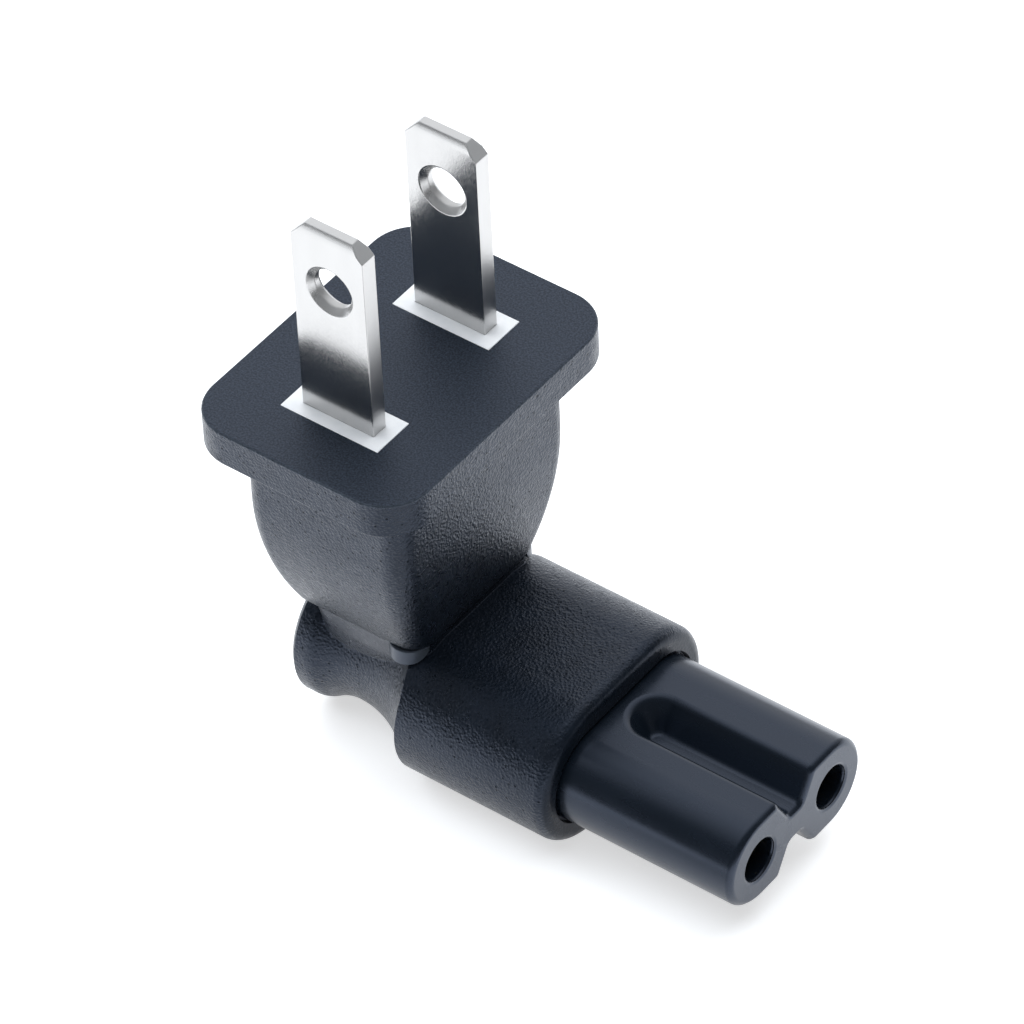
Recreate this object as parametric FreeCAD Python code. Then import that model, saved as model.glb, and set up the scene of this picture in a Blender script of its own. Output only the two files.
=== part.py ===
"""Right-angle adapter from a flat two-blade plug to a figure-8 connector.

The origin is the middle of the plug face, between the blades. The blades stand up along +Z, their broad
faces look along Y, and the connector points along +X below the plug.
"""
import FreeCAD, Part
import math
import os

V = FreeCAD.Vector

# Plug blades
blade_spacing = 12.7
blade_width = 6.2
blade_thickness = 1.4
blade_length = 16.9
tip_clip_run = 1.08         # clipped corners, across the blade
tip_clip_drop = 1.15        # and down the blade
tip_bevel_run = 0.35        # bevels of the two broad faces at the tip
tip_bevel_drop = 0.7
blade_hole_height = 11.8
blade_hole_diameter = 3.2
blade_rim_diameter = 4.1    # mouth of the countersinks
blade_notch_depth = 0.8     # notches that lock the blade in its carrier
blade_notch_height = 1.6
tail_width = 3.0
barrel_length = 3.0
barrel_wall = 0.95
barrel_web = 2.0            # plate between the tail and its barrel

# White carrier moulded round the blades
pad_length = 8.5
pad_width = 3.6
pad_height = 1.3            # from the carrier's block up to the plug face
carrier_length = 10.4
carrier_height = 7.3
carrier_margin = 1.6        # block past the blades' outer faces
carrier_corner = 1.0

# Flange and head of the plug
flange_length = 18.94
flange_width = 25.64
flange_thickness = 3.0
flange_corner = 3.7
flange_edge = 0.12
head_length = 14.2
head_width = 19.7
foot_length = 11.8
foot_width = 14.2
head_corner = 1.85
head_straight = 6.0         # under the flange, before the sides curve in to the foot
foot_height = 0.5           # foot above the connector's flat top, with the neck showing between them
neck_rear = -4.4
neck_front = 5.85
neck_width = 13.9
neck_taper = 1.7            # each side, from the foot down to the connector's axis
neck_corner = 1.7

# Connector body
axis_drop = 26.33           # axis of the connector below the plug face
shroud_spread = 7.2         # between the centres of the section's two half circles
shroud_radius = 6.07
shroud_rear = 5.25
shroud_length = 13.25
rim_round = 1.0
tail_rear = -5.9
tail_spread = 2.8
tail_edge = 0.4
tail_round = 1.6            # edge between the tail's rim and the waist
throat_place = -1.2         # narrowest place of the waist along X
waist_depth = 1.02
tail_hollow = 4.6           # hollow arcs of the waist, towards the tail
shroud_hollow = 8.5         # and towards the shroud
recess_width = 0.26         # gap round the nose in the shroud's front
recess_depth = 0.5

# Nose of the connector
contact_spacing = 8.6
nose_spread = 8.38
nose_radius = 3.735
nose_reach = 14.9           # past the shroud
nose_root = 7.5             # inside the shroud
nose_edge = 0.35
root_rib_height = 0.9
root_rib_length = 2.0
root_rib_inset = 1.6
groove_width = 4.1
groove_floor = 1.3
groove_depth = 2.35
groove_shoulder = 0.42      # from a sharp corner to either end of its rounding
groove_fillet = 0.3         # the same where the walls meet the floor
groove_setback = 0.95
contact_hole_diameter = 3.3
hole_chamfer = 0.2

# Contacts and wires
pin_bore = 2.4
sleeve_inset = 1.8
sleeve_length = 9.5
sleeve_floor = 1.8          # solid end of the sleeve, before the shank
sleeve_slit = 0.6
shank_diameter = 2.0
collar_length = 1.5
core_diameter = 1.0
insulation_diameter = 2.2
insulation_gap = 0.5        # bare conductor before each barrel
wire_lead = 2.1             # straight insulated run behind each contact's barrel
bend_steps = 3              # straight runs that make up a wire's bend

shroud_front = shroud_rear + shroud_length
nose_front = shroud_front + nose_reach
nose_rear = shroud_front - nose_root
bend_radius = nose_rear - barrel_length - insulation_gap - wire_lead
axis_z = -axis_drop
connector_top = axis_z + shroud_radius
foot_z = connector_top + foot_height
carrier_foot = -pad_height - carrier_height
barrel_radius = core_diameter / 2 + barrel_wall
barrel_foot = carrier_foot - barrel_length


def rounded_rectangle(length, width, radius, z, middle=0.0):
    """Closed wire of a rectangle with round corners in the plane z, centred at x = middle."""
    x, y, k = length / 2, width / 2, radius * math.sqrt(0.5)
    edges = []
    for sx, sy in ((1, 1), (-1, 1), (-1, -1), (1, -1)):
        c = V(middle + sx * (x - radius), sy * (y - radius), z)
        a = c + V(sx * radius, 0, 0)
        b = c + V(0, sy * radius, 0)
        if sx * sy < 0:
            a, b = b, a
        edges.append((a, c + V(sx * k, sy * k, 0), b))
    wire = []
    for i, (a, m, b) in enumerate(edges):
        wire += [Part.Arc(a, m, b).toShape(), Part.makeLine(b, edges[(i + 1) % 4][0])]
    return Part.Wire(wire)


def stadium(x, spread, radius):
    """Closed wire of a flat oval in the plane x: half circles on the connector's axis, joined by lines."""
    a = spread / 2
    top, foot = axis_z + radius, axis_z - radius
    return Part.Wire([
        Part.makeLine(V(x, -a, foot), V(x, a, foot)),
        Part.Arc(V(x, a, foot), V(x, a + radius, axis_z), V(x, a, top)).toShape(),
        Part.makeLine(V(x, a, top), V(x, -a, top)),
        Part.Arc(V(x, -a, top), V(x, -a - radius, axis_z), V(x, -a, foot)).toShape(),
    ])


def stadium_bar(x0, x1, spread, radius):
    return Part.Face(stadium(x0, spread, radius)).extrude(V(x1 - x0, 0, 0))


def edges_at_x(shape, x):
    return [e for e in shape.Edges if all(abs(v.Point.x - x) < 1e-6 for v in e.Vertexes)]


def edges_at_z(shape, z):
    return [e for e in shape.Edges if all(abs(v.Point.z - z) < 1e-6 for v in e.Vertexes)]


def x_cylinder(x0, x1, radius, y):
    return Part.makeCylinder(radius, x1 - x0, V(x0, y, axis_z), V(1, 0, 0))


def blade(side):
    """One blade: clipped and bevelled tip, countersunk hole, notches, tail and crimp barrel."""
    y, w, t, top = side * blade_spacing / 2, blade_width / 2, blade_thickness / 2, blade_length
    y_wire = side * contact_spacing / 2
    n = w - blade_notch_depth
    notch_top = (carrier_foot + blade_notch_height) / 2
    notch_foot = notch_top - blade_notch_height
    half = [(w - tip_clip_run, top), (w, top - tip_clip_drop), (w, notch_top), (n, notch_top),
            (n, notch_foot), (w, notch_foot), (w, carrier_foot), (tail_width / 2, carrier_foot),
            (tail_width / 2, barrel_foot)]
    outline = [V(x, y - t, z) for x, z in half] + [V(-x, y - t, z) for x, z in reversed(half)]
    plate = Part.Face(Part.makePolygon(outline + outline[:1])).extrude(V(0, 2 * t, 0))
    for s in (-1, 1):
        low, high = V(-w, y + s * t, top - tip_bevel_drop), V(-w, y + s * t, top)
        wedge = Part.makePolygon([low, high - V(0, s * tip_bevel_run, 0), high, low])
        plate = plate.cut(Part.Face(wedge).extrude(V(2 * w, 0, 0)))
        sink = (blade_rim_diameter - blade_hole_diameter) / 2
        plate = plate.cut(Part.makeCone(blade_rim_diameter / 2, blade_hole_diameter / 2, sink,
                                        V(0, y + s * t, blade_hole_height), V(0, -s, 0)))
    hole = Part.makeCylinder(blade_hole_diameter / 2, 2 * t, V(0, y - t, blade_hole_height), V(0, 1, 0))
    web = Part.makeBox(barrel_web, abs(y - y_wire), barrel_length,
                       V(-barrel_web / 2, min(y, y_wire), barrel_foot))
    barrel = Part.makeCylinder(barrel_radius, barrel_length, V(0, y_wire, barrel_foot))
    bore = Part.makeCylinder(core_diameter / 2, barrel_length, V(0, y_wire, barrel_foot))
    return plate.cut(hole).fuse([web, barrel]).removeSplitter().cut(bore)


def carrier(blades):
    """The white insert: a block under the face with a pad round each blade, moulded round both blades."""
    width = blade_spacing + blade_thickness + 2 * carrier_margin
    block = Part.Face(rounded_rectangle(carrier_length, width, carrier_corner, carrier_foot))
    block = block.extrude(V(0, 0, carrier_height))
    pads = [Part.makeBox(pad_length, pad_width, pad_height,
                         V(-pad_length / 2, (s * blade_spacing - pad_width) / 2, -pad_height))
            for s in (-1, 1)]
    return block.fuse(pads).removeSplitter().cut(blades)


def side_profile(half_top, half_foot):
    """Half-width curve of the head: straight down under the flange, then an arc in to the foot."""
    top, start = -flange_thickness, -flange_thickness - head_straight
    fall = start - foot_z
    inset = half_top - half_foot
    radius = (fall * fall + inset * inset) / (2 * inset)
    halfway = (half_top - radius + math.sqrt(radius ** 2 - fall ** 2 / 4), start - fall / 2)
    return [(half_top, top), (half_top, start), halfway, (half_foot, foot_z)]


def head_slab(half_top, half_foot, half_depth, turned):
    """Prism of the head's side view, as wide as the head the other way."""
    pts = side_profile(half_top, half_foot)

    def at(h, z):
        return V(-half_depth, h, z) if turned else V(h, -half_depth, z)

    edges = []
    for s in (1, -1):
        p = [at(s * h, z) for h, z in pts]
        edges += [Part.makeLine(p[0], p[1]), Part.Arc(p[1], p[2], p[3]).toShape()]
    edges += [Part.makeLine(at(pts[0][0], pts[0][1]), at(-pts[0][0], pts[0][1])),
              Part.makeLine(at(pts[3][0], foot_z), at(-pts[3][0], foot_z))]
    face = Part.Face(Part.Wire(Part.__sortEdges__(edges)))
    return face.extrude(V(2 * half_depth, 0, 0) if turned else V(0, 2 * half_depth, 0))


def plug_head():
    """Flange, head that bellies in from the flange to its narrower foot, and the neck under the foot."""
    flange = Part.Face(rounded_rectangle(flange_length, flange_width, flange_corner, -flange_thickness))
    flange = flange.extrude(V(0, 0, flange_thickness))
    flange = flange.makeChamfer(flange_edge, edges_at_z(flange, 0) + edges_at_z(flange, -flange_thickness))
    head = head_slab(head_length / 2, foot_length / 2, head_width / 2, False)
    head = head.common(head_slab(head_width / 2, foot_width / 2, head_length / 2, True))
    corners = [e for e in head.Edges
               if all(abs(v.Point.x) > foot_length / 2 - 1e-6 and abs(v.Point.y) > foot_width / 2 - 1e-6
                      for v in e.Vertexes) and abs(e.Vertexes[0].Point.z - e.Vertexes[-1].Point.z) > 1e-3]
    head = head.makeFillet(head_corner, corners)
    length, middle = neck_front - neck_rear, (neck_front + neck_rear) / 2
    narrow = rounded_rectangle(length, neck_width - 2 * neck_taper, neck_corner, axis_z, middle)
    wide = rounded_rectangle(length, neck_width, neck_corner, foot_z, middle)
    neck = Part.makeLoft([narrow, wide], True, True)
    return [flange, head, neck]


def waist():
    """Tail rim and finger grip: a profile with two hollow arcs, swept round the section."""
    a, rim = tail_spread / 2, shroud_radius
    throat = rim - waist_depth
    tail_run = math.sqrt(waist_depth * (2 * tail_hollow - waist_depth))
    flare = shroud_rear - throat_place

    def at(x, r):
        return V(x, a, axis_z + r)

    def hollow(radius, run):
        return throat + radius - math.sqrt(radius ** 2 - run ** 2)

    rim_end, low = at(throat_place - tail_run, rim), at(throat_place, throat)
    tail_middle = at(throat_place - tail_run / 2, hollow(tail_hollow, tail_run / 2))
    flare_middle = at(throat_place + flare / 2, hollow(shroud_hollow, flare / 2))
    flare_end = at(shroud_rear, hollow(shroud_hollow, flare))
    face = Part.Face(Part.Wire([
        Part.makeLine(at(tail_rear, 0), at(tail_rear, rim)),
        Part.makeLine(at(tail_rear, rim), rim_end),
        Part.Arc(rim_end, tail_middle, low).toShape(),
        Part.Arc(low, flare_middle, flare_end).toShape(),
        Part.makeLine(flare_end, at(shroud_rear, 0)),
        Part.makeLine(at(shroud_rear, 0), at(tail_rear, 0)),
    ]))
    middle = face.extrude(V(0, -tail_spread, 0))
    middle = middle.fuse(middle.mirror(V(0, 0, axis_z), V(0, 0, 1)))
    end = face.revolve(V(0, a, axis_z), V(1, 0, 0), -180)
    body = middle.fuse([end, end.mirror(V(0, 0, 0), V(0, 1, 0))]).removeSplitter()
    body = body.makeFillet(tail_round, edges_at_x(body, throat_place - tail_run))
    body = body.makeChamfer(tail_edge, edges_at_x(body, tail_rear))
    return body.common(stadium_bar(tail_rear, shroud_rear, shroud_spread, shroud_radius))


def connector_body():
    """Waist and shroud. The shroud's front has a round rim and a recess for the nose."""
    shroud = stadium_bar(shroud_rear, shroud_front, shroud_spread, shroud_radius)
    shroud = shroud.makeFillet(rim_round, edges_at_x(shroud, shroud_front))
    recess = stadium_bar(shroud_front - recess_depth, shroud_front, nose_spread, nose_radius + recess_width)
    return [waist(), shroud.cut(recess)]


def rounded_corner(corner, before, after, reach):
    """Start, middle and end of the arc that rounds a corner between the directions before and after."""
    start, end = corner + before * reach, corner + after * reach
    half = before.getAngle(after) / 2
    middle = corner + ((start + end) / 2 - corner) * (1 - math.sin(half)) / math.cos(half) ** 2
    return start, middle, end


def groove(side):
    """Cutter of the groove along one flat of the nose, with its round rear end. Side +1 is the top."""
    x = shroud_front + groove_setback + groove_width / 2
    z = axis_z + side * nose_radius

    def at(y, height):
        return V(x, y, z + side * height)

    foot, lip = at(groove_floor / 2, -groove_depth), at(groove_width / 2, 0)
    up = (lip - foot).normalize()
    a0, a1, a2 = rounded_corner(foot, V(0, -1, 0), up, groove_fillet)
    b0, b1, b2 = rounded_corner(lip, -up, V(0, 1, 0), groove_shoulder)
    over = b2 + V(0, 0, side * groove_shoulder)
    top, bottom = at(0, groove_shoulder), at(0, -groove_depth)
    face = Part.Face(Part.Wire([
        Part.makeLine(bottom, a0), Part.Arc(a0, a1, a2).toShape(), Part.makeLine(a2, b0),
        Part.Arc(b0, b1, b2).toShape(), Part.makeLine(b2, over), Part.makeLine(over, top),
        Part.makeLine(top, bottom),
    ]))
    end = face.revolve(V(x, 0, z), V(0, 0, 1), 180)
    mirrored = face.mirror(V(x, 0, z), V(0, 1, 0))
    run = V(nose_front - x, 0, 0)
    return [end, face.extrude(run), mirrored.extrude(run)]


def chambers():
    """The two round chambers through the nose, one for each contact."""
    return [x_cylinder(nose_rear, nose_front, contact_hole_diameter / 2, side * contact_spacing / 2)
            for side in (-1, 1)]


def nose():
    """The figure-8 insert with its grooves, contact chambers and the rib that locks it in the shroud."""
    body = stadium_bar(nose_rear, nose_front, nose_spread, nose_radius)
    for side in (-1, 1):
        body = body.cut(groove(side))
    body = body.makeChamfer(nose_edge, edges_at_x(body, nose_front))
    rib_rear = nose_rear + root_rib_inset
    rib_radius = nose_radius + root_rib_height
    body = body.fuse(stadium_bar(rib_rear, rib_rear + root_rib_length, nose_spread, rib_radius))
    for side in (-1, 1):
        y, r = side * contact_spacing / 2, contact_hole_diameter / 2
        start = V(nose_front - hole_chamfer, y, axis_z)
        body = body.cut(Part.makeCone(r, r + hole_chamfer, hole_chamfer, start, V(1, 0, 0)))
    return body.cut(chambers())


def contact(side):
    """Slit socket sleeve, shank, collar that closes the chamber, and crimp barrel."""
    y, r = side * contact_spacing / 2, contact_hole_diameter / 2
    front = nose_front - sleeve_inset
    rear = front - sleeve_length
    slit = Part.makeBox(sleeve_length - sleeve_floor, r, sleeve_slit,
                        V(rear + sleeve_floor, y if side < 0 else y - r, axis_z - sleeve_slit / 2))
    bore = x_cylinder(rear + sleeve_floor, front, pin_bore / 2, y)
    sleeve = x_cylinder(rear, front, r, y).cut([bore, slit])
    shank = x_cylinder(nose_rear, rear, shank_diameter / 2, y)
    collar = x_cylinder(nose_rear, nose_rear + collar_length, r, y)
    barrel = x_cylinder(nose_rear - barrel_length, nose_rear, barrel_radius, y)
    whole = sleeve.fuse([shank, collar, barrel]).removeSplitter()
    return whole.cut(x_cylinder(nose_rear - barrel_length, nose_rear, core_diameter / 2, y))


def wire(side, diameter, top_z, end_x):
    """Round rod from top_z down, round the bend in mitred runs and along the connector's axis to end_x."""
    y = side * contact_spacing / 2
    turns = [math.pi / 2 * step / bend_steps for step in range(bend_steps + 1)]
    bend = [V(bend_radius * (1 - math.cos(t)), y, axis_z + bend_radius * (1 - math.sin(t))) for t in turns]
    path = Part.makePolygon([V(0, y, top_z)] + bend + [V(end_x, y, axis_z)])
    profile = Part.Wire(Part.makeCircle(diameter / 2, V(0, y, top_z), V(0, 0, 1)))
    return path.makePipeShell([profile], True, True, 1)


left_blade, right_blade = blade(-1), blade(1)
blade_carrier = carrier([left_blade, right_blade])
connector_nose = nose()
parts = {
    "left_blade": left_blade,
    "right_blade": right_blade,
    "blade_carrier": blade_carrier,
    "connector_nose": connector_nose,
}
for name, side in (("left", -1), ("right", 1)):
    core = wire(side, core_diameter, barrel_foot + barrel_length, nose_rear)
    cover = wire(side, insulation_diameter, barrel_foot - insulation_gap,
                 nose_rear - barrel_length - insulation_gap)
    parts[name + "_contact"] = contact(side)
    parts[name + "_wire_core"] = core
    parts[name + "_wire_insulation"] = cover.cut(core)

bodies = plug_head() + connector_body()
outside = bodies[0].fuse(bodies[1:]).removeSplitter()
parts["overmould"] = outside.cut(list(parts.values()) + chambers())

os.makedirs("parts", exist_ok=True)
for name, shape in parts.items():
    solids = shape.Solids
    result = solids[0] if len(solids) == 1 else shape
    result.exportStep("parts/" + name + ".step")
    print(name, "solids", len(solids), "volume", round(result.Volume, 2), "valid", result.isValid())
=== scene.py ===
import math

import bmesh
import bpy
import numpy as np
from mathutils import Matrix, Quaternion, Vector


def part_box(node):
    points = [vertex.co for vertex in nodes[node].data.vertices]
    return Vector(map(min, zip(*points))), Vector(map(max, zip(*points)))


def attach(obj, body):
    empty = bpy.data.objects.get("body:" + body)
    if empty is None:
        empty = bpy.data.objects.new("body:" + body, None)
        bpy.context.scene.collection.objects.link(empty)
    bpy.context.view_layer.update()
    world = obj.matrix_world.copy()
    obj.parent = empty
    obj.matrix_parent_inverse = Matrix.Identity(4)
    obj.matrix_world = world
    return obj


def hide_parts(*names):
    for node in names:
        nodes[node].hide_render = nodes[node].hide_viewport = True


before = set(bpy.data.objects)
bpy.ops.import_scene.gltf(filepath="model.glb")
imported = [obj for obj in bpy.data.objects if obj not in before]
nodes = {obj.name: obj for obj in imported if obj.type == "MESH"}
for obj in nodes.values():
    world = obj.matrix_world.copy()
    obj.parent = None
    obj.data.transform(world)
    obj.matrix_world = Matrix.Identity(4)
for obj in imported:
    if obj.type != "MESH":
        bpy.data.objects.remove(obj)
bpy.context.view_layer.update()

MM = 0.001

# Places on the adapter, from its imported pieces
overmould_low, overmould_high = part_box("overmould")
carrier_low, carrier_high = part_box("blade_carrier")
shroud_front = overmould_high.x
plug_face = carrier_high.z
floor_height = overmould_low.z

# Places that no box gives: the head's underside, and where the neck's sides end on the shroud
head_foot = -19.76 * MM
neck_foot = -22.4 * MM


def linear(colour):
    """RGBA in linear light of an sRGB hex colour."""
    shares = [int(colour[i:i + 2], 16) / 255 for i in (1, 3, 5)]
    return [s / 12.92 if s <= 0.04045 else ((s + 0.055) / 1.055) ** 2.4 for s in shares] + [1.0]


# Cool sheen of the black plastics
black_sheen = {"IOR": 1.5, "Specular Tint": linear("#d1e0ff")}


def add(tree, kind, inputs=None, **settings):
    """Adds one shader node with its own settings, and returns its outputs.

    Each of its inputs is fed by another node's output, or set to a number, a colour or a vector.
    """
    node = tree.nodes.new("ShaderNode" + kind)
    for name, value in settings.items():
        setattr(node, name, value)
    for name, source in (inputs or {}).items():
        if isinstance(source, bpy.types.NodeSocket):
            tree.links.new(source, node.inputs[name])
        else:
            node.inputs[name].default_value = source
    return node.outputs


def new_material(name):
    """Empty node material and its tree."""
    material = bpy.data.materials.new(name)
    material.use_nodes = True
    material.node_tree.nodes.clear()
    return material, material.node_tree


def object_place(tree, stretch=(1, 1, 1)):
    """Object coordinates, in metres, stretched along the axes for drawn or brushed finishes."""
    place = add(tree, "TexCoord")["Object"]
    return add(tree, "Mapping", {"Vector": place, "Scale": stretch})["Vector"]


def overmould_pvc():
    """Flexible black PVC, injected over the inner parts in a spark-eroded mould.

    The erosion leaves rounded craters a fifth of a millimetre across, which break the highlights up, and
    a deeper pit here and there. The plug face comes from a duller, finer plate of the mould, and the
    shroud's front and the neck's sides come from plain inserts. The plug face's edge is painted pale, as a
    painted highlight along it.
    """
    material, tree = new_material("black_pvc_spark_eroded")
    place = object_place(tree)
    craters = add(tree, "TexVoronoi", {"Vector": place, "Scale": 1 / (0.22 * MM)})["Distance"]
    grit = add(tree, "TexNoise", {"Vector": place, "Scale": 1 / (0.14 * MM), "Detail": 3.0,
                                  "Roughness": 0.6})["Fac"]
    relief = add(tree, "Math", {0: craters, 1: grit}, operation="ADD")["Value"]
    along = add(tree, "SeparateXYZ", {"Vector": place})
    # Band just under the plug face's edge, where a painted highlight goes
    on_edge = add(tree, "MapRange", {"Value": along["Z"], "From Min": plug_face - 0.22 * MM,
                                     "From Max": plug_face - 0.18 * MM})["Result"]
    on_face = add(tree, "MapRange", {"Value": along["Z"], "From Min": plug_face - 0.03 * MM,
                                     "From Max": plug_face - 0.01 * MM})["Result"]
    on_front = add(tree, "MapRange", {"Value": along["X"], "From Min": shroud_front - 0.4 * MM,
                                      "From Max": shroud_front - 0.2 * MM})["Result"]
    aside = add(tree, "Math", {0: along["Y"]}, operation="ABSOLUTE")["Value"]
    on_neck = add(tree, "MapRange", {"Value": aside, "From Min": 5.7 * MM, "From Max": 5.9 * MM})["Result"]
    for source, low, high, start, end in (
            (along["X"], 1.0, 0.0, 5.1 * MM, 5.2 * MM),
            (along["Z"], 0.0, 1.0, neck_foot, neck_foot + 0.3 * MM),
            (along["Z"], 1.0, 0.0, head_foot - 0.15 * MM, head_foot - 0.05 * MM)):
        within = add(tree, "MapRange", {"Value": source, "From Min": start, "From Max": end,
                                        "To Min": low, "To Max": high})["Result"]
        on_neck = add(tree, "Math", {0: on_neck, 1: within}, operation="MULTIPLY")["Value"]
    smooth = add(tree, "Math", {0: on_face, 1: on_front}, operation="MAXIMUM")["Value"]
    smooth = add(tree, "Math", {0: smooth, 1: on_neck}, operation="MAXIMUM")["Value"]
    depth = add(tree, "MapRange", {"Value": smooth, "To Min": 1.0, "To Max": 0.27})["Result"]
    normal = add(tree, "Bump", {"Height": relief, "Strength": depth, "Distance": 0.04 * MM})["Normal"]
    patches = add(tree, "TexNoise", {"Vector": place, "Scale": 1 / (0.6 * MM), "Detail": 3.0})["Fac"]
    gloss = add(tree, "MapRange", {"Value": patches, "From Min": 0.3, "From Max": 0.7,
                                   "To Min": 0.24, "To Max": 0.38})["Result"]
    roughness = add(tree, "Mix", {"Factor": on_face, "A": gloss, "B": 0.45})["Result"]
    pits = add(tree, "TexVoronoi", {"Vector": place, "Scale": 1 / (0.6 * MM)})["Distance"]
    shine = add(tree, "MapRange", {"Value": pits, "From Min": 0.11, "From Max": 0.19,
                                   "To Min": 0.12, "To Max": 0.66})["Result"]
    shine = add(tree, "Mix", {"Factor": smooth, "A": shine, "B": 0.66})["Result"]
    shine = add(tree, "Mix", {"Factor": on_front, "A": shine, "B": 0.3})["Result"]
    tone = add(tree, "TexNoise", {"Vector": place, "Scale": 1 / (2.5 * MM)})["Fac"]
    tone = add(tree, "MapRange", {"Value": tone, "From Min": 0.35, "From Max": 0.65})["Result"]
    black = add(tree, "Mix", {"Factor": tone, "A": linear("#10161d"), "B": linear("#151c25")},
                data_type="RGBA")["Result"]
    # Painted highlight: the band under the plug face's edge is painted pale
    edge_painted_lit = add(tree, "Mix", {"Factor": on_edge, "A": black, "B": linear("#3a4047")},
                 data_type="RGBA")["Result"]
    specks = add(tree, "MapRange", {"Value": grit, "From Min": 0.4, "From Max": 0.6})["Result"]
    speckled = add(tree, "Mix", {"Factor": specks, "A": linear("#0f141a"), "B": linear("#2d343e")},
                   data_type="RGBA")["Result"]
    colour = add(tree, "Mix", {"Factor": on_face, "A": edge_painted_lit, "B": speckled}, data_type="RGBA")["Result"]
    shader = add(tree, "BsdfPrincipled", black_sheen | {
        "Base Color": colour, "Normal": normal, "Roughness": roughness, "Specular IOR Level": shine})["BSDF"]
    add(tree, "OutputMaterial", {"Surface": shader})
    return material


def nose_plastic():
    """Hard black nose of the connector, moulded in a polished mould, with faint flow marks."""
    material, tree = new_material("black_polished_moulding")
    flow = add(tree, "TexNoise", {"Vector": object_place(tree, (0.3, 1, 1)), "Scale": 1 / (1.6 * MM)})["Fac"]
    fine = add(tree, "TexNoise", {"Vector": object_place(tree), "Scale": 1 / (0.12 * MM)})["Fac"]
    colour = add(tree, "Mix", {"Factor": flow, "A": linear("#10161d"), "B": linear("#141c25")},
                 data_type="RGBA")["Result"]
    normal = add(tree, "Bump", {"Height": fine, "Strength": 0.3, "Distance": 0.01 * MM})["Normal"]
    roughness = add(tree, "MapRange", {"Value": flow, "From Min": 0.3, "From Max": 0.7,
                                       "To Min": 0.22, "To Max": 0.3})["Result"]
    shader = add(tree, "BsdfPrincipled", black_sheen | {
        "Base Color": colour, "Normal": normal, "Roughness": roughness, "Specular IOR Level": 0.85})["BSDF"]
    add(tree, "OutputMaterial", {"Surface": shader})
    return material


def white_insert():
    """White ABS of the blade carrier, smooth from the mould and faintly uneven."""
    material, tree = new_material("white_abs_moulding")
    place = object_place(tree)
    tone = add(tree, "TexNoise", {"Vector": place, "Scale": 1 / (1.2 * MM), "Detail": 3.0})["Fac"]
    tone = add(tree, "MapRange", {"Value": tone, "From Min": 0.35, "From Max": 0.65})["Result"]
    fine = add(tree, "TexNoise", {"Vector": place, "Scale": 1 / (0.15 * MM)})["Fac"]
    colour = add(tree, "Mix", {"Factor": tone, "A": linear("#f0f1f2"), "B": linear("#f8f8f8")},
                 data_type="RGBA")["Result"]
    normal = add(tree, "Bump", {"Height": fine, "Strength": 0.15, "Distance": 0.01 * MM})["Normal"]
    roughness = add(tree, "MapRange", {"Value": fine, "From Min": 0.3, "From Max": 0.7,
                                       "To Min": 0.4, "To Max": 0.5})["Result"]
    shader = add(tree, "BsdfPrincipled", {
        "Base Color": colour, "Normal": normal, "Roughness": roughness, "IOR": 1.53})["BSDF"]
    add(tree, "OutputMaterial", {"Surface": shader})
    return material


def nickel_plate():
    """Bright nickel plated over stamped brass strip: a near mirror, finely pitted from the strip below.

    The strip's sheared edges and clipped corners, which look along X, are rougher, with marks across them.
    The coined bevels round its end, which look partly up, are matt from the tool.
    """
    material, tree = new_material("nickel_plated_brass")
    pitted = add(tree, "TexNoise", {"Vector": object_place(tree, (1, 1, 0.5)), "Scale": 1 / (0.13 * MM),
                                    "Detail": 3.0, "Roughness": 0.6})["Fac"]
    marks = add(tree, "TexNoise", {"Vector": object_place(tree, (1, 0.25, 1)), "Scale": 1 / (0.16 * MM),
                                   "Detail": 3.0, "Roughness": 0.6})["Fac"]
    broad = add(tree, "TexNoise", {"Vector": object_place(tree, (1, 1, 0.3)),
                                   "Scale": 1 / (1.4 * MM)})["Fac"]
    facing = add(tree, "TexCoord")["Normal"]
    facing = add(tree, "VectorMath", {0: facing}, operation="ABSOLUTE")["Vector"]
    along = add(tree, "SeparateXYZ", {"Vector": facing})
    sheared = add(tree, "MapRange", {"Value": along["X"], "From Min": 0.4, "From Max": 0.65})["Result"]
    coined = add(tree, "MapRange", {"Value": along["Z"], "From Min": 0.2, "From Max": 0.5})["Result"]
    worked = add(tree, "Math", {0: sheared, 1: coined}, operation="MAXIMUM")["Value"]
    relief = add(tree, "Mix", {"Factor": worked, "A": pitted, "B": marks})["Result"]
    depth = add(tree, "MapRange", {"Value": worked, "To Min": 0.4, "To Max": 0.9})["Result"]
    normal = add(tree, "Bump", {"Height": relief, "Strength": depth, "Distance": 0.008 * MM})["Normal"]
    polish = add(tree, "MapRange", {"Value": pitted, "From Min": 0.3, "From Max": 0.7,
                                    "To Min": 0.14, "To Max": 0.22})["Result"]
    roughness = add(tree, "Mix", {"Factor": worked, "A": polish, "B": 0.28})["Result"]
    metallic = add(tree, "MapRange", {"Value": coined, "To Min": 1.0, "To Max": 0.45})["Result"]
    colour = add(tree, "Mix", {"Factor": broad, "A": linear("#c5c4c3"), "B": linear("#cecdcc")},
                 data_type="RGBA")["Result"]
    shader = add(tree, "BsdfPrincipled", {
        "Base Color": colour, "Normal": normal, "Roughness": roughness, "Metallic": metallic})["BSDF"]
    add(tree, "OutputMaterial", {"Surface": shader})
    return material


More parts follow.
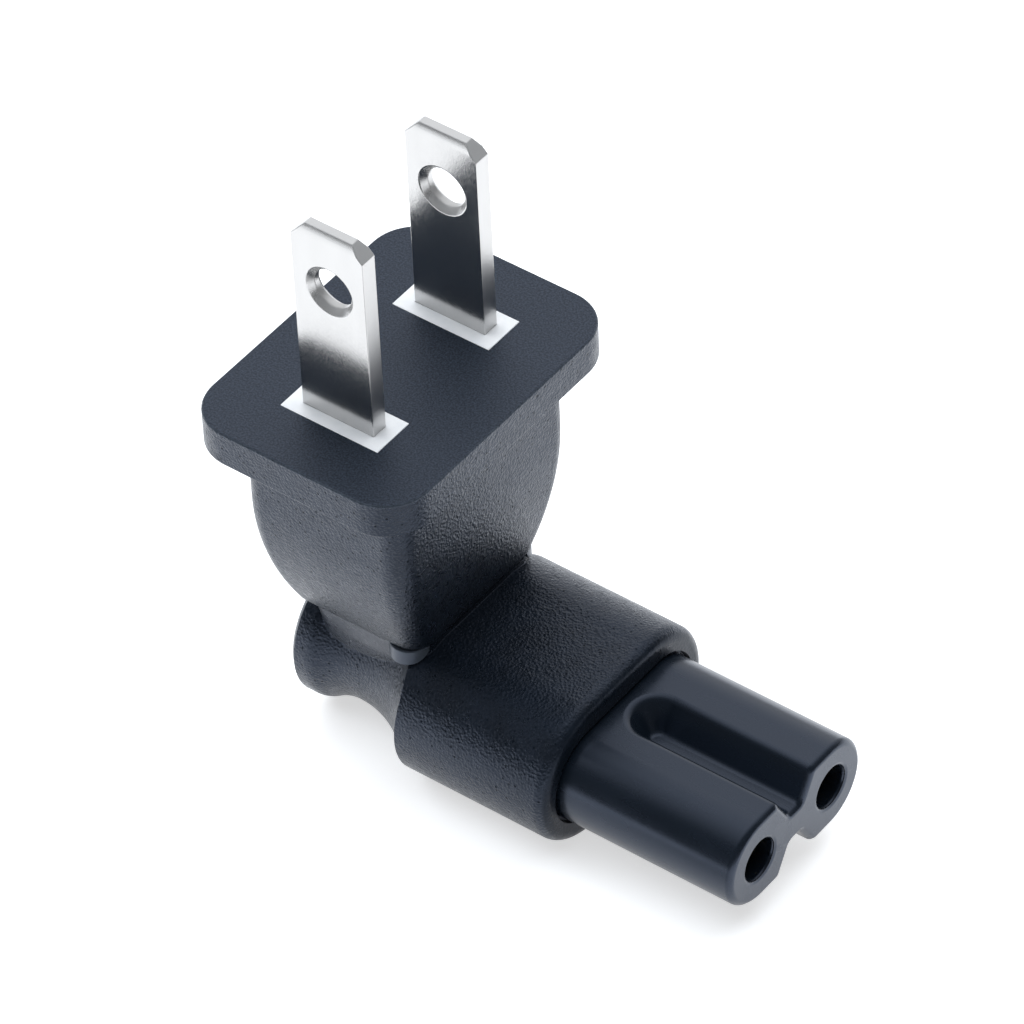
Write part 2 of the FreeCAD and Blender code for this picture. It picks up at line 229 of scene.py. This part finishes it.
def bare_metal(name, dark, light, along):
    """Bare drawn or stamped metal, with its rolling or drawing lines along one axis."""
    material, tree = new_material(name)
    lines = add(tree, "TexNoise", {"Vector": object_place(tree, along), "Scale": 1 / (0.15 * MM),
                                   "Detail": 3.0})["Fac"]
    colour = add(tree, "Mix", {"Factor": lines, "A": linear(dark), "B": linear(light)},
                 data_type="RGBA")["Result"]
    normal = add(tree, "Bump", {"Height": lines, "Strength": 0.15, "Distance": 0.006 * MM})["Normal"]
    roughness = add(tree, "MapRange", {"Value": lines, "From Min": 0.3, "From Max": 0.7,
                                       "To Min": 0.25, "To Max": 0.4})["Result"]
    shader = add(tree, "BsdfPrincipled", {
        "Base Color": colour, "Normal": normal, "Roughness": roughness, "Metallic": 1.0})["BSDF"]
    add(tree, "OutputMaterial", {"Surface": shader})
    return material


def wire_jacket():
    """Extruded black PVC insulation of the two wires, with a soft sheen and faint drawing marks."""
    material, tree = new_material("extruded_black_pvc")
    marks = add(tree, "TexNoise", {"Vector": object_place(tree), "Scale": 1 / (0.2 * MM)})["Fac"]
    colour = add(tree, "Mix", {"Factor": marks, "A": linear("#202124"), "B": linear("#292b2e")},
                 data_type="RGBA")["Result"]
    roughness = add(tree, "MapRange", {"Value": marks, "From Min": 0.3, "From Max": 0.7,
                                       "To Min": 0.4, "To Max": 0.55})["Result"]
    shader = add(tree, "BsdfPrincipled", {"Base Color": colour, "Roughness": roughness, "IOR": 1.5})["BSDF"]
    add(tree, "OutputMaterial", {"Surface": shader})
    return material


def painted_pale_pvc():
    """The overmould's black PVC where an insert of the mould shaped it: smooth, with a paler colour that is
    painted light.
    """
    material, tree = new_material("black_pvc_painted_pale")
    mottle = add(tree, "TexNoise", {"Vector": object_place(tree), "Scale": 1 / (0.5 * MM)})["Fac"]
    # Painted light: the colour is much paler than the overmould's black, for the lit lip
    colour = add(tree, "Mix", {"Factor": mottle, "A": linear("#40464e"), "B": linear("#4a5058")},
                 data_type="RGBA")["Result"]
    roughness = add(tree, "MapRange", {"Value": mottle, "From Min": 0.3, "From Max": 0.7,
                                       "To Min": 0.3, "To Max": 0.4})["Result"]
    shader = add(tree, "BsdfPrincipled", black_sheen | {
        "Base Color": colour, "Roughness": roughness, "Specular IOR Level": 0.66})["BSDF"]
    add(tree, "OutputMaterial", {"Surface": shader})
    return material


def dress(names, material):
    """Gives CAD nodes their finish."""
    for name in names:
        mesh = nodes[name].data
        mesh.materials.clear()
        mesh.materials.append(material)


def placed(name, mesh, material):
    """New piece in the scene, made of one mesh and one material."""
    mesh.materials.append(material)
    piece = bpy.data.objects.new(name, mesh)
    bpy.context.scene.collection.objects.link(piece)
    return piece


def soften(names, material, width):
    """Finished copies of CAD nodes, with their sharp edges rounded to a width in metres."""
    for name in names:
        whole = bmesh.new()
        whole.from_mesh(nodes[name].data)
        bmesh.ops.remove_doubles(whole, verts=whole.verts, dist=0.0005 * MM)
        bmesh.ops.dissolve_limit(whole, angle_limit=math.radians(0.5), verts=whole.verts, edges=whole.edges)
        for face in whole.faces:
            face.smooth = True
        mesh = bpy.data.meshes.new(name + "_softened")
        whole.to_mesh(mesh)
        whole.free()
        piece = placed(name + "_softened", mesh, material)
        bevel = piece.modifiers.new("edges", "BEVEL")
        bevel.width, bevel.segments = width, 3
        bevel.limit_method, bevel.angle_limit = "ANGLE", math.radians(30)
        bevel.use_clamp_overlap = False
        normals = piece.modifiers.new("normals", "WEIGHTED_NORMAL")
        normals.keep_sharp = True
        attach(piece, "root")
        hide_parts(name)


def neck_lip(name, side, material):
    """Smooth lip of the neck under one rounded front corner of the head: left at side -1, right at side 1.

    A closed profile carried round the corner's centre, from s = 0 to 1. Its inner radius is r0 / 2, and its
    outer radius is r(s) = r0 + b sin(pi s)^1.5, with r0 the corner's radius and b the bulge. Its height is
    h(s) = h0 sqrt(1 - s^4), so that it dies out at the front. Its outer edges are drawn in a little.
    """
    centre_x, centre_y, r0, bulge, height, drawn = np.array((4.05, 5.25, 1.85, 0.34, 1.25, 0.07)) * MM
    s = np.linspace(0, 1, 49)
    angle = np.radians(-45 + 120 * s)[:, None]
    outer = r0 + bulge * np.sin(np.pi * s) ** 1.5
    inner = np.full_like(s, r0 / 2)
    top = np.full_like(s, head_foot + 0.08 * MM)
    foot = top - 2 * drawn - height * np.sqrt(1 - s ** 4)
    radius = np.stack((inner, outer - drawn, outer, outer, outer - drawn, inner), axis=1)
    z = np.stack((top, top, top - drawn, foot + drawn, foot, foot), axis=1)
    x, y = centre_x + radius * np.sin(angle), side * (centre_y + radius * np.cos(angle))
    here = np.arange(z.size).reshape(z.shape)
    after = np.roll(here, -1, axis=1)
    around = np.stack((here[:-1], after[:-1], after[1:], here[1:]), axis=2).reshape(-1, 4)[:, ::-side]
    ends = [here[0, ::side].tolist(), here[-1, ::-side].tolist()]
    mesh = bpy.data.meshes.new(name)
    mesh.from_pydata(np.stack((x, y, z), axis=2).reshape(-1, 3).tolist(), [], around.tolist() + ends)
    mesh.shade_smooth()
    mesh.set_sharp_from_angle(angle=math.radians(40))
    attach(placed(name, mesh, material), "root")


soften(["overmould"], overmould_pvc(), 0.06 * MM)
soften(["connector_nose"], nose_plastic(), 0.16 * MM)
soften(["blade_carrier"], white_insert(), 0.05 * MM)
soften(["left_blade", "right_blade"], nickel_plate(), 0.08 * MM)
smooth_insert = painted_pale_pvc()
neck_lip("left_neck_lip", -1, smooth_insert)
neck_lip("right_neck_lip", 1, smooth_insert)
dress(["left_contact", "right_contact"],
      bare_metal("stamped_brass", "#a08648", "#c2a765", (0.05, 1, 1)))
dress(["left_wire_core", "right_wire_core"],
      bare_metal("drawn_copper", "#a4613e", "#c67f57", (1, 1, 0.05)))
dress(["left_wire_insulation", "right_wire_insulation"], wire_jacket())


def seen_directly(tree):
    """1 for rays from the camera, from gloss and through glass, else 0."""
    path = add(tree, "LightPath")
    either = add(tree, "Math", {0: path["Is Camera Ray"], 1: path["Is Glossy Ray"]},
                 operation="MAXIMUM")["Value"]
    return add(tree, "Math", {0: either, 1: path["Is Transmission Ray"]}, operation="MAXIMUM")["Value"]


def sheet(name, middle, half, material):
    """Square of the stage that lies flat, with its own middle as its origin."""
    mesh = bpy.data.meshes.new(name)
    mesh.from_pydata([(x, y, 0) for x, y in ((-half, -half), (half, -half), (half, half), (-half, half))],
                     [], [(0, 1, 2, 3)])
    piece = placed(name, mesh, material)
    piece.location = middle
    return piece


def distance_out(tree):
    """Distance from the object's own origin, in metres."""
    return add(tree, "VectorMath", {0: add(tree, "TexCoord")["Object"]}, operation="LENGTH")["Value"]


def floor():
    """Wide white sweep under the adapter, with some light of its own, so that shadows on it stay pale."""
    material, tree = new_material("white_paper_sweep")
    paper = add(tree, "BsdfDiffuse", {"Color": linear("#f0f0f0")})["BSDF"]
    # Painted pool of light: the floor's own glow is strongest near the adapter and fades outward
    pool = add(tree, "MapRange", {"Value": distance_out(tree), "From Min": 60 * MM, "From Max": 200 * MM,
                                  "To Min": 0.6, "To Max": 0.2})["Result"]
    glow = add(tree, "Emission", {"Strength": pool, "Color": linear("#ffffff")})["Emission"]
    lit = add(tree, "AddShader", {0: paper, 1: glow})["Shader"]
    shown = add(tree, "MixShader", {0: seen_directly(tree), 1: paper, 2: lit})["Shader"]
    clear = add(tree, "BsdfTransparent")["BSDF"]
    below = add(tree, "NewGeometry")["Backfacing"]
    whole = add(tree, "MixShader", {0: below, 1: shown, 2: clear})["Shader"]
    add(tree, "OutputMaterial", {"Surface": whole})
    sheet("floor", Vector((0, 0, floor_height)), 1.5, material)


def shade():
    """Painted shadow: a soft dark patch on the floor in front of the adapter, which only gloss shows."""
    material, tree = new_material("painted_gloss_shadow")
    clear = add(tree, "BsdfTransparent")["BSDF"]
    black = add(tree, "BsdfDiffuse", {"Color": linear("#000000")})["BSDF"]
    # Painted shadow, darkest at the patch's middle and gone by 36 mm out
    cover = add(tree, "MapRange", {"Value": distance_out(tree), "From Min": 8 * MM, "From Max": 36 * MM,
                                   "To Min": 0.6, "To Max": 0.0})["Result"]
    painted_shadow_mix = add(tree, "MixShader", {0: cover, 1: clear, 2: black})["Shader"]
    add(tree, "OutputMaterial", {"Surface": painted_shadow_mix})
    piece = sheet("shade", Vector((29 * MM, -38 * MM, floor_height + 0.2 * MM)), 40 * MM, material)
    piece.visible_camera = piece.visible_diffuse = piece.visible_shadow = piece.visible_transmission = False


def surroundings():
    """Studio round the object: dim walls, a large soft light high at its left, and white to the camera."""
    walls, soft_light = 0.1, 0.95
    towards = Vector((-0.455, 0.563, 0.69))
    world = bpy.data.worlds.new("studio")
    bpy.context.scene.world = world
    world.use_nodes = True
    tree = world.node_tree
    tree.nodes.clear()
    direction = add(tree, "TexCoord")["Generated"]
    nearness = add(tree, "VectorMath", {0: direction, 1: towards}, operation="DOT_PRODUCT")["Value"]
    room = add(tree, "MapRange", {
        "Value": nearness, "From Min": math.cos(math.radians(72)), "From Max": math.cos(math.radians(28)),
        "To Min": walls, "To Max": soft_light})["Result"]
    from_camera = add(tree, "LightPath")["Is Camera Ray"]
    strength = add(tree, "Mix", {"Factor": from_camera, "A": room, "B": 1.0})["Result"]
    glow = add(tree, "Background", {"Strength": strength, "Color": linear("#ffffff")})["Background"]
    add(tree, "OutputWorld", {"Surface": glow})


def soft_box(name, place, size, power):
    """Rectangular lamp of a given size in metres that faces the object and has no image in its gloss."""
    lamp = bpy.data.lights.new(name, "AREA")
    lamp.shape = "RECTANGLE"
    lamp.size, lamp.size_y = size
    lamp.energy = power
    lamp.color = linear("#eef6ff")[:3]
    holder = bpy.data.objects.new(name, lamp)
    holder.location = Vector(place)
    aim = Vector((overmould_low + overmould_high) / 2) - holder.location
    holder.rotation_mode = "QUATERNION"
    holder.rotation_quaternion = aim.to_track_quat("-Z", "Y")
    holder.visible_glossy = False
    bpy.context.scene.collection.objects.link(holder)


def camera():
    """Long lens above the front right corner, at the photograph's azimuth, elevation and slight tilt."""
    azimuth, elevation, tilt = math.radians(38.92), math.radians(43.64), math.radians(-2.89)
    target, distance = Vector((10.2, -1.14, -7.9)) * MM, 496.4 * MM
    back = Vector((math.sin(azimuth) * math.cos(elevation), -math.cos(azimuth) * math.cos(elevation),
                   math.sin(elevation)))
    lens = bpy.data.cameras.new("camera")
    lens.sensor_width, lens.lens = 36.0, 250.8
    lens.clip_start, lens.clip_end = 0.01, 20.0
    holder = bpy.data.objects.new("camera", lens)
    holder.location = target + back * distance
    holder.rotation_mode = "QUATERNION"
    holder.rotation_quaternion = (-back).to_track_quat("-Z", "Y") @ Quaternion((0, 0, 1), tilt)
    bpy.context.scene.collection.objects.link(holder)
    bpy.context.scene.camera = holder


floor()
shade()
surroundings()
soft_box("key_box", (-0.15, 0.05, 0.80), (1.3, 1.3), 10.0)
camera()
bpy.context.scene.view_settings.view_transform = "Standard"
